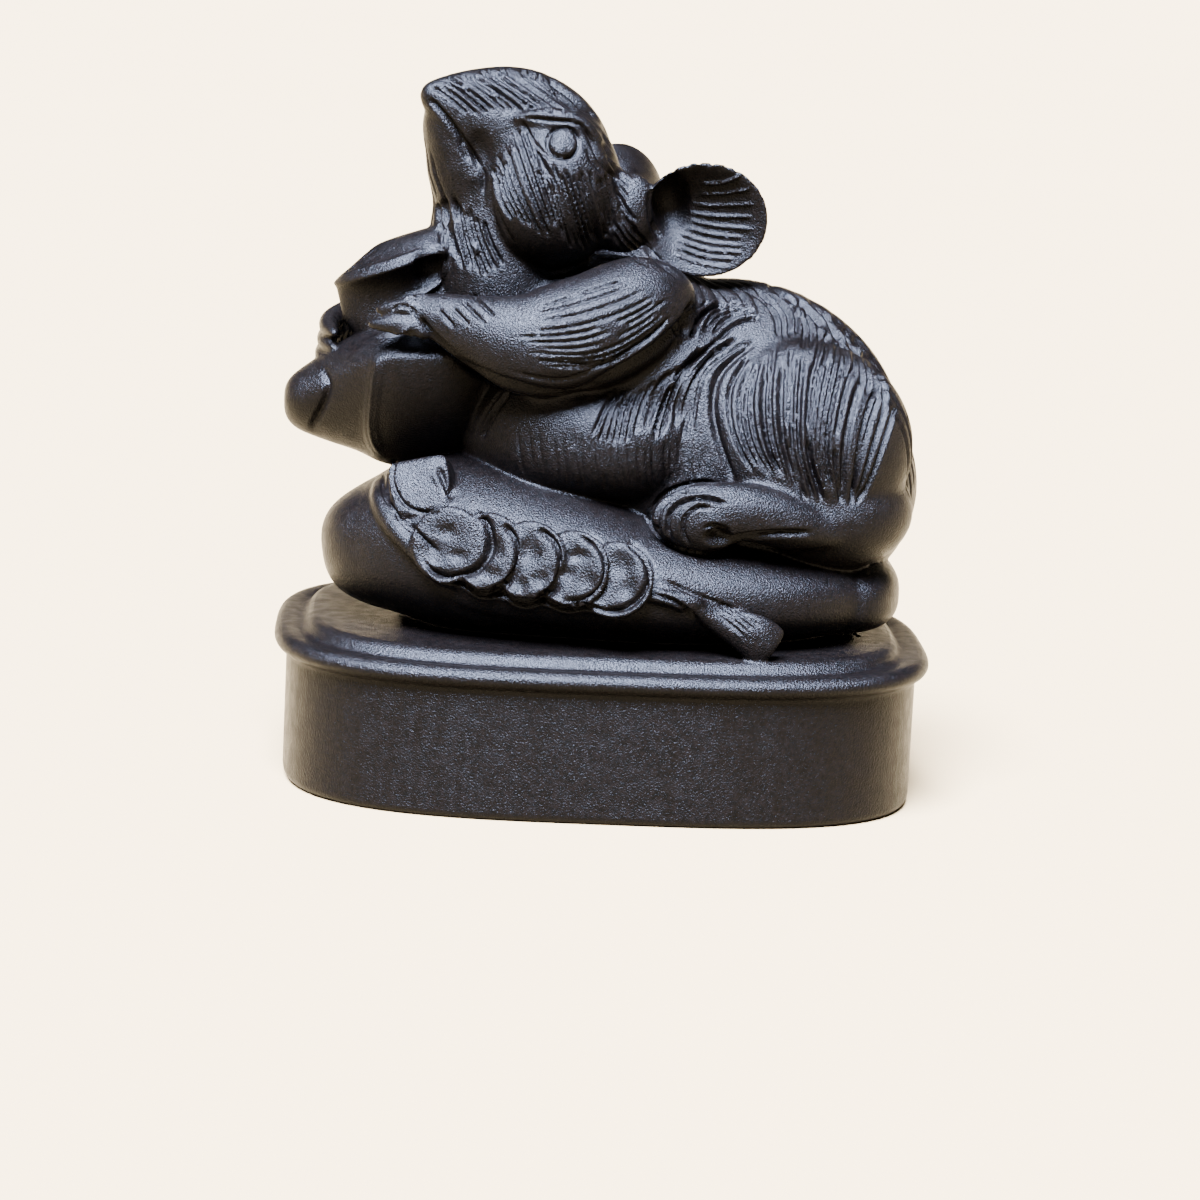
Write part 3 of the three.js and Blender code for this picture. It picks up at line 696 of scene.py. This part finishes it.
def carve_body(c):
    """The fur of the neck, arm, flank, belly and thigh, and the creases between them."""
    c.family("both", [[(438, 196), (440, 224), (446, 252)], [(448, 190), (455, 232), (468, 276)],
                      [(462, 200), (471, 240), (487, 282)], [(480, 214), (490, 244), (508, 276)]],
             11, 0.16, 0.46, 0.1, 0.2, 0.14)
    # Under the arm: the crease along it, then the shadow line above
    c.line("both", [(452, 356), (486, 376), (536, 391), (562, 395), (586, 390), (612, 374),
                    (650, 352), (682, 324), (697, 306)], 0.36, 0.55, 0.1)
    c.line("both", [(500, 368), (540, 378), (568, 379), (596, 368), (632, 348), (664, 322)],
           0.16, 0.2, 0.25)
    # Along the arm
    c.family("both", [[(634, 278), (598, 288), (562, 300), (530, 312)],
                      [(668, 294), (622, 318), (572, 332), (510, 336)],
                      [(676, 302), (640, 334), (588, 356), (515, 352)],
                      [(680, 312), (648, 344), (600, 368), (530, 366)]], 12, 0.13, 0.28, 0.4, 0.3)
    # The wrist's short strokes
    c.family("show", [[(436, 307), (446, 318), (458, 332)], [(470, 292), (484, 306), (500, 322)]],
             4, 0.15, 0.36, 0.0, 0.05)
    # The paw
    c.line("show", [(390, 312), (398, 306), (408, 307), (417, 314)], 0.14, 0.3, 0.2)
    c.line("show", [(418, 316), (432, 334), (456, 356)], 0.25, 0.55, 0.2)
    # The flank, between the arm and the thigh
    c.family("both", [[(618, 388), (608, 405), (600, 422), (590, 444)],
                      [(632, 388), (622, 406), (617, 428), (613, 452)],
                      [(664, 372), (650, 391), (641, 414), (634, 444)],
                      [(694, 352), (670, 378), (656, 408), (646, 444)],
                      [(722, 336), (692, 362), (673, 396), (662, 442)],
                      [(746, 328), (710, 355), (687, 391), (675, 444)],
                      [(758, 340), (722, 362), (700, 392), (688, 470)]], 20, 0.17, 0.52, 0.25, 0.4, 0.14)
    # Behind the shoulder
    c.family("both", [[(696, 300), (684, 318), (676, 346)], [(718, 300), (697, 314), (684, 344)],
                      [(744, 303), (715, 312), (699, 338)], [(764, 316), (736, 322), (712, 344)]],
             9, 0.16, 0.5, 0.1, 0.35, 0.14)
    # Along the back
    c.family("both", [[(738, 282), (760, 295), (776, 312), (780, 338)],
                      [(770, 286), (792, 302), (803, 322), (800, 348)],
                      [(800, 298), (820, 316), (832, 342), (828, 376)],
                      [(830, 314), (848, 336), (858, 364), (854, 396)],
                      [(860, 338), (874, 360), (884, 388), (880, 416)]], 16, 0.17, 0.5, 0.3, 0.4, 0.14)
    # The belly
    c.family("both", [[(520, 424), (520, 446), (526, 476)], [(600, 430), (602, 464), (608, 496)],
                      [(660, 440), (660, 466), (662, 490)], [(712, 440), (706, 466), (700, 486)]],
             24, 0.12, 0.14, 0.2, 0.4)
    # The thigh: its outline, then its fur
    c.line("both", [(760, 338), (734, 358), (718, 378), (713, 405), (717, 434), (725, 460),
                    (736, 488)], 0.3, 0.5, 0.12)
    c.family("both", [[(752, 352), (728, 392), (733, 440), (760, 487)],
                      [(766, 348), (755, 396), (761, 446), (782, 484)],
                      [(782, 342), (776, 396), (780, 450), (798, 500)],
                      [(800, 338), (795, 396), (796, 450), (812, 505)],
                      [(824, 340), (814, 396), (811, 452), (826, 508)],
                      [(850, 350), (836, 402), (829, 454), (838, 508)],
                      [(874, 370), (859, 414), (850, 462), (846, 510)],
                      [(900, 404), (888, 442), (873, 482), (856, 512)]], 25, 0.17, 0.52, 0.3, 0.4, 0.14)


def carve_unseen(c):
    """The rump, the back and the front of the neck, in plainer strokes."""
    c.family("rear", [[(-10, 44), (-10.5, 35), (-8, 26)], [(-4, 46), (-4.5, 36), (-3.5, 24)],
                      [(4, 46), (4.5, 36), (3.5, 24)], [(10, 44), (10.5, 35), (8, 26)]],
             19, 0.18, 0.2, 0.4, 0.3)
    for side in (-1, 1):
        c.family("above", [[(-3, side * 0.4), (0, side * 3), (1, side * 6)],
                           [(8, side * 0.4), (11, side * 3.5), (12, side * 8)],
                           [(20, side * 0.4), (22, side * 3), (23, side * 6)]],
                 20, 0.18, 0.2, 0.1, 0.3)
    c.family("front", [[(-7, 56), (-6.5, 50), (-7, 42)], [(-2, 57), (-1.5, 50), (-1.5, 42)],
                       [(4, 56), (4.5, 50), (5.5, 42)]], 12, 0.17, 0.18, 0.3, 0.3)


def carve_foot(c):
    """The hind paw: toes curled in arcs round a small hollow, and the sole's line."""
    c.line("both", [(640, 508), (655, 530), (672, 546), (700, 554), (722, 550)], 0.2, 0.45, 0.2)
    c.line("both", [(650, 514), (660, 498), (675, 488), (700, 482), (722, 484)], 0.16, 0.4, 0.2)
    c.line("both", [(661, 538), (656, 520), (664, 503), (684, 493), (708, 491)], 0.16, 0.42, 0.2)
    c.line("both", [(672, 544), (667, 528), (671, 510), (688, 499), (708, 498), (730, 505)],
           0.18, 0.65, 0.15)
    c.line("both", [(690, 546), (683, 532), (685, 517), (698, 507), (714, 509)], 0.15, 0.5, 0.2)
    c.line("both", [(702, 530), (714, 526), (732, 531)], 0.2, 0.45, 0.25)
    c.line("both", [(706, 543), (722, 544), (742, 537), (780, 533), (818, 533)], 0.24, 0.5, 0.2)
    c.swell("both", (718, 537), (1.5, 0.9), -1.3)


def carve_bag(c):
    """Folds of the mouth and under the coins, the cord's grooves and the coins' dents."""
    c.line("show", [(398, 456), (391, 476), (401, 500), (420, 512), (444, 512)], 0.16, 0.36, 0.12)
    c.line("show", [(385, 468), (383, 490), (398, 516), (412, 530), (436, 552)], 0.16, 0.36, 0.12)
    c.line("show", [(437, 466), (446, 484), (454, 500)], 0.28, 0.5, 0.2)
    c.line("show", [(408, 522), (422, 536), (438, 552)], 0.16, 0.35, 0.2)
    # The wavy edge below the coins, and the fold under it
    c.line("show", [(418, 556), (440, 577), (462, 582), (482, 594), (504, 594), (524, 604),
                    (544, 600), (566, 608), (590, 606), (614, 616)], 0.18, 0.34, 0.1, 0.6, 40)
    c.line("show", [(440, 596), (470, 613), (520, 624), (590, 632)], 0.3, 0.2, 0.3)
    # The cord, its tie and the tassel's folds
    c.line("show", [(646, 590), (668, 598), (688, 612), (696, 622)], 0.18, 0.34, 0.2)
    c.line("show", [(656, 576), (690, 592), (716, 602), (742, 612)], 0.16, 0.26, 0.25)
    c.line("show", [(650, 594), (676, 602), (702, 622)], 0.16, 0.26, 0.25)
    c.family("show", [[(704, 606), (728, 622), (750, 642)], [(718, 602), (742, 614), (764, 630)]],
             4, 0.14, 0.24, 0.0, 0.05)
    # The dark gap at each coin's right edge
    for arc in ([(466, 508), (483, 524), (485, 552), (470, 571), (444, 577), (424, 566)],
                [(498, 522), (512, 540), (514, 562), (503, 584), (484, 595)],
                [(532, 527), (552, 543), (557, 568), (549, 590), (530, 601)],
                [(572, 533), (594, 545), (603, 568), (596, 590), (574, 602), (556, 601)],
                [(622, 540), (640, 558), (645, 578), (635, 598), (614, 611), (596, 609)]):
        c.line("show", [(x + COIN_GAP_SHIFT, y) for x, y in arc], 0.32, 0.7, 0.12, 0.0, 24)
    # Dents in their faces
    for x, y in ((446, 532), (458, 556), (434, 552), (494, 548), (486, 574), (528, 552), (540, 580),
                 (520, 586), (578, 556), (588, 584), (562, 574), (622, 566), (628, 590)):
        c.swell("show", (x, y), (1.3 + 0.4 * np.sin(x), 1.1 + 0.4 * np.cos(y)), -0.28)


def carve_ingot(c):
    """The ingot's ridges: round its upper wing, down its hull and round its lower end."""
    c.line("show", [(334, 280), (360, 271), (392, 262), (428, 249)], 0.25, -0.25, 0.15, 0.0)
    c.swell("show", (428, 270), (1.6, 1.7), -0.9)
    c.line("show", [(430, 240), (444, 254), (444, 274), (426, 292), (398, 302)], 0.25, -0.45, 0.15, 0.0)
    c.line("show", [(375, 338), (394, 337), (414, 331)], 0.16, 0.45, 0.15, 0.6)
    c.line("show", [(414, 331), (430, 342), (458, 364)], 0.16, -0.3, 0.15, -0.6)
    c.line("show", [(380, 352), (374, 384), (371, 430), (382, 458)], 0.22, -0.3, 0.15, -0.5)
    c.line("show", [(322, 364), (328, 388), (320, 412), (308, 432)], 0.3, 0.4, 0.2, 0.0)
    c.line("show", [(512, 388), (494, 412), (480, 442)], 0.2, 0.4, 0.2)
    c.line("show", [(506, 386), (488, 410), (474, 440)], 0.14, 0.2, 0.2)


def stone_skin():
    """The whole carving's skin, in millimetres."""
    body = fused(body_forms(), BODY_VOXEL)
    body.soften(3)
    p = body.points
    # The creases are filled wholly round the head and the thighs, and by less elsewhere
    head = in_ball(p, on_plinth([-8, -2, 41]), 15, 5)
    near = np.column_stack([p[:, 0], -np.abs(p[:, 1]), p[:, 2]])
    thigh = in_ball(near, on_plinth([20, -8, 24]), 10, 5)
    elsewhere = 0.45
    body.fill_creases(BODY_FILLING, elsewhere + (1 - elsewhere) * np.maximum(head, thigh))
    rat = (body.points, body.faces.tolist())
    skin = fused([rat, *small_forms(), *bag_forms(), plinth()], SKIN_VOXEL)
    skin.soften(2)
    figure = smooth_step(PLINTH_HEIGHT - 0.5, PLINTH_HEIGHT + 0.8, skin.points[:, 2])
    skin.fill_creases(SKIN_FILLING, 0.6 * figure)
    carver = Carver(skin)
    for carve in (carve_head, carve_ear, carve_body, carve_unseen, carve_foot, carve_bag,
                  carve_ingot):
        carve(carver)
    carver.cut()
    skin.soften(1, 0.5)
    return skin


# Materials

STONE_GROUND, STONE_CLOUD = (0.0001, 0.0001, 0.0001), (0.0008, 0.0005, 0.0004)
STONE_SPECK = (0.006, 0.0055, 0.005, 1)
STONE_ROUGHNESS = (0.28, 0.38)
STONE_SPECULAR = 0.042
RIDGE_POLISH = 0.3
SPECK_SHARE = 0.14
# How many waves, cells or grains of each pattern there are in a metre
CLOUD_SCALE, SPECK_SCALE, SHEEN_SCALE, GRAIN_SCALE, WAVE_SCALE = 3000, 2600, 900, 6500, 700
# Heights of the sanded grain and of the low waves, in metres
GRAIN_HEIGHT, WAVE_HEIGHT = 0.00012, 0.00006
FLOOR_COLOURS = ((0.110, 0.0732, 0.0308, 1), (0.115, 0.0768, 0.0322, 1))


def new_material(name):
    """A material with nodes: itself, its nodes, its links, its shader and its Object coordinates."""
    material = bpy.data.materials.new(name)
    material.use_nodes = True
    nodes, links = material.node_tree.nodes, material.node_tree.links
    place = nodes.new("ShaderNodeTexCoord").outputs["Object"]
    return material, nodes, links, nodes["Principled BSDF"], place


def black_stone():
    """Satin black stone: a near-black ground with a faint cloudy tone, a fine sanded grain over low
    waves, sparse pale dust specks, and ridges that are more polished than the rest."""
    material, nodes, links, shader, place = new_material("black_stone")

    def noise(scale, detail, roughness=0.5):
        node = nodes.new("ShaderNodeTexNoise")
        node.inputs["Scale"].default_value = scale
        node.inputs["Detail"].default_value = detail
        node.inputs["Roughness"].default_value = roughness
        links.new(place, node.inputs["Vector"])
        return node.outputs["Fac"]

    def ramp(value, stops):
        node = nodes.new("ShaderNodeValToRGB")
        for stop, (at, colour) in zip(node.color_ramp.elements, stops):
            stop.position = at
            stop.color = (*colour, 1)
        links.new(value, node.inputs["Fac"])
        return node.outputs["Color"]

    def arithmetic(operation, *terms, clamp=False):
        node = nodes.new("ShaderNodeMath")
        node.operation = operation
        node.use_clamp = clamp
        for socket, term in zip(node.inputs, terms):
            if isinstance(term, float):
                socket.default_value = term
            else:
                links.new(term, socket)
        return node.outputs["Value"]

    def bump(pattern, strength, height):
        node = nodes.new("ShaderNodeBump")
        node.inputs["Strength"].default_value = strength
        node.inputs["Distance"].default_value = height
        links.new(pattern, node.inputs["Height"])
        return node

    cloud = noise(CLOUD_SCALE, 3, 0.75)
    ground = ramp(cloud, [(0.38, STONE_GROUND), (0.62, STONE_CLOUD)])
    specks = nodes.new("ShaderNodeTexVoronoi")
    specks.inputs["Scale"].default_value = SPECK_SCALE
    links.new(place, specks.inputs["Vector"])
    speck = ramp(specks.outputs["Distance"], [(0.06, (1, 1, 1)), (0.14, (0, 0, 0))])
    chance = nodes.new("ShaderNodeSeparateColor")
    links.new(specks.outputs["Color"], chance.inputs["Color"])
    rare = arithmetic("GREATER_THAN", chance.outputs["Red"], 1 - SPECK_SHARE)
    mix = nodes.new("ShaderNodeMix")
    mix.data_type = "RGBA"
    links.new(arithmetic("MULTIPLY", speck, rare), mix.inputs["Factor"])
    links.new(ground, mix.inputs["A"])
    mix.inputs["B"].default_value = STONE_SPECK
    links.new(mix.outputs["Result"], shader.inputs["Base Color"])

    rough = nodes.new("ShaderNodeMapRange")
    rough.inputs["From Min"].default_value = 0.35
    rough.inputs["From Max"].default_value = 0.65
    rough.inputs["To Min"].default_value, rough.inputs["To Max"].default_value = STONE_ROUGHNESS
    links.new(noise(SHEEN_SCALE, 3), rough.inputs["Value"])
    hollow = nodes.new("ShaderNodeAttribute")
    hollow.attribute_name = "hollow"
    worn = arithmetic("MULTIPLY_ADD", hollow.outputs["Fac"], RIDGE_POLISH, rough.outputs["Result"],
                      clamp=True)
    links.new(worn, shader.inputs["Roughness"])
    shader.inputs["Specular IOR Level"].default_value = STONE_SPECULAR
    shader.inputs["IOR"].default_value = 1.5

    grain = bump(noise(GRAIN_SCALE, 2, 0.6), 0.9, GRAIN_HEIGHT)
    wave = bump(noise(WAVE_SCALE, 3), 0.3, WAVE_HEIGHT)
    links.new(wave.outputs["Normal"], grain.inputs["Normal"])
    links.new(grain.outputs["Normal"], shader.inputs["Normal"])
    return material


def pale_floor():
    """The matt cream floor, with the faintest mottle."""
    material, nodes, links, shader, place = new_material("pale_floor")
    mottle = nodes.new("ShaderNodeTexNoise")
    mottle.inputs["Scale"].default_value = 6
    ramp = nodes.new("ShaderNodeValToRGB")
    for stop, colour in zip(ramp.color_ramp.elements, FLOOR_COLOURS):
        stop.color = colour
    links.new(place, mottle.inputs["Vector"])
    links.new(mottle.outputs["Fac"], ramp.inputs["Fac"])
    links.new(ramp.outputs["Color"], shader.inputs["Base Color"])
    shader.inputs["Roughness"].default_value = 0.9
    shader.inputs["Specular IOR Level"].default_value = 0.1
    return material


# The finished piece

def mark_hollows(mesh):
    """Keeps on each point how hollow it is, from -0.3 on a sharp ridge to 0.1 deep in a groove: the
    height of its neighbours' mean above it along its normal, over the square of their distance."""
    count = len(mesh.vertices)
    points = read_out(mesh.vertices, "co", 3) / MM
    normal = read_out(mesh.vertex_normals, "vector", 3)
    edges = read_out(mesh.edges, "vertices", 2, np.int32)
    a, b = np.concatenate([edges, edges[:, ::-1]]).T
    run = points[b] - points[a]
    square = (run**2).sum(1)
    near = np.bincount(a, None, count)
    bend = np.bincount(a, (run * normal[a]).sum(1) / square, count) / near
    bend = (bend + np.bincount(a, bend[b], count) / near) / 2
    value = np.where(bend > 0, 0.1 * smooth_step(0.2, 1.6, bend), -0.3 * smooth_step(0.3, 2.0, -bend))
    mesh.attributes.new("hollow", "FLOAT", "POINT").data.foreach_set("value", value.astype(np.float32))


def finished_piece(skin):
    """The skin as one object in metres, thinned to the most triangles, smooth shaded."""
    low, high = np.array(CAD_BOX)
    mesh = bpy.data.meshes.new("stone_carving")
    points = np.clip(skin.points * MM, low, high)
    mesh.from_pydata(points.tolist(), [], skin.faces.tolist())
    mesh.validate()
    piece = new_object("stone_carving", mesh)
    thin = piece.modifiers.new("thin", "DECIMATE")
    thin.ratio = min(1.0, MOST_TRIANGLES / (2 * len(skin.faces)))
    thin.use_collapse_triangulate = True
    thinned = bpy.data.meshes.new_from_object(piece.evaluated_get(
        bpy.context.evaluated_depsgraph_get()))
    piece.modifiers.clear()
    piece.data = thinned
    thinned.name = "stone_carving"
    thinned.shade_smooth()
    mark_hollows(thinned)
    thinned.materials.clear()
    thinned.materials.append(black_stone())
    bpy.data.meshes.remove(mesh)
    return piece


carving = finished_piece(stone_skin())
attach(carving, "root")
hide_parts("rat_figurine")
print("triangles", len(carving.data.polygons))


# Floor, light and camera

FLAT_REACH, FLOOR_REACH = 1, 8
FLOOR_RISE = 0.012
DAYLIGHT_WIDTH = np.radians(32)
DAYLIGHT_STRENGTH = 410
DAYLIGHT_COLOUR = (0.60, 0.70, 1.0)
TOWARDS_DAYLIGHT = (-0.16, -0.5, 0.85)
SURROUND_COLOUR, SURROUND_STRENGTH = (1.0, 0.9, 0.8, 1), 0.2
SENSOR_WIDTH = 36.0
NEAREST_SEEN, FARTHEST_SEEN = 0.01, 20.0


def floor():
    """A wide floor, flat out to a metre and then rising very gently, as a dish does: its height is
    0.012 * (distance - 1)^2 metres, so that it reaches above the horizon."""
    distance = np.linspace(0, FLOOR_REACH, 81)[:, None]
    angle = circle(72)
    height = FLOOR_RISE * np.maximum(distance - FLAT_REACH, 0)**2 + 0 * angle
    ring = np.stack([distance * np.cos(angle), distance * np.sin(angle), height], -1)
    count, around = ring.shape[:2]
    a = np.arange(around)
    base = around * np.arange(count - 1)[:, None]
    after = (a + 1) % around
    faces = np.stack([base + a, base + around + a, base + around + after, base + after], -1)
    mesh = bpy.data.meshes.new("floor")
    mesh.from_pydata(ring.reshape(-1, 3).tolist(), [], faces.reshape(-1, 4).tolist())
    made = new_object("floor", mesh)
    mesh.materials.append(pale_floor())


def studio():
    """Soft cool daylight from above, in front and a little to the left, and a pale warm surround."""
    lamp = bpy.data.lights.new("soft_daylight", "SUN")
    lamp.angle = DAYLIGHT_WIDTH
    lamp.energy = DAYLIGHT_STRENGTH
    lamp.color = DAYLIGHT_COLOUR
    made = new_object("soft_daylight", lamp)
    made.rotation_euler = Vector(TOWARDS_DAYLIGHT).to_track_quat("Z", "Y").to_euler()
    world = bpy.data.worlds.new("surround")
    bpy.context.scene.world = world
    world.use_nodes = True
    background = world.node_tree.nodes["Background"]
    background.inputs["Color"].default_value = SURROUND_COLOUR
    background.inputs["Strength"].default_value = SURROUND_STRENGTH


def photo_camera():
    """The camera of the photograph."""
    data = bpy.data.cameras.new("camera")
    data.sensor_width = SENSOR_WIDTH
    data.lens = data.sensor_width * FOCAL_PIXELS / PICTURE
    data.clip_start, data.clip_end = NEAREST_SEEN, FARTHEST_SEEN
    made = new_object("camera", data)
    turn = Matrix(CAMERA_TURN.tolist()).to_4x4()
    made.matrix_world = Matrix.Translation(Vector(CAMERA_PLACE * MM)) @ turn
    bpy.context.scene.camera = made


floor()
studio()
photo_camera()
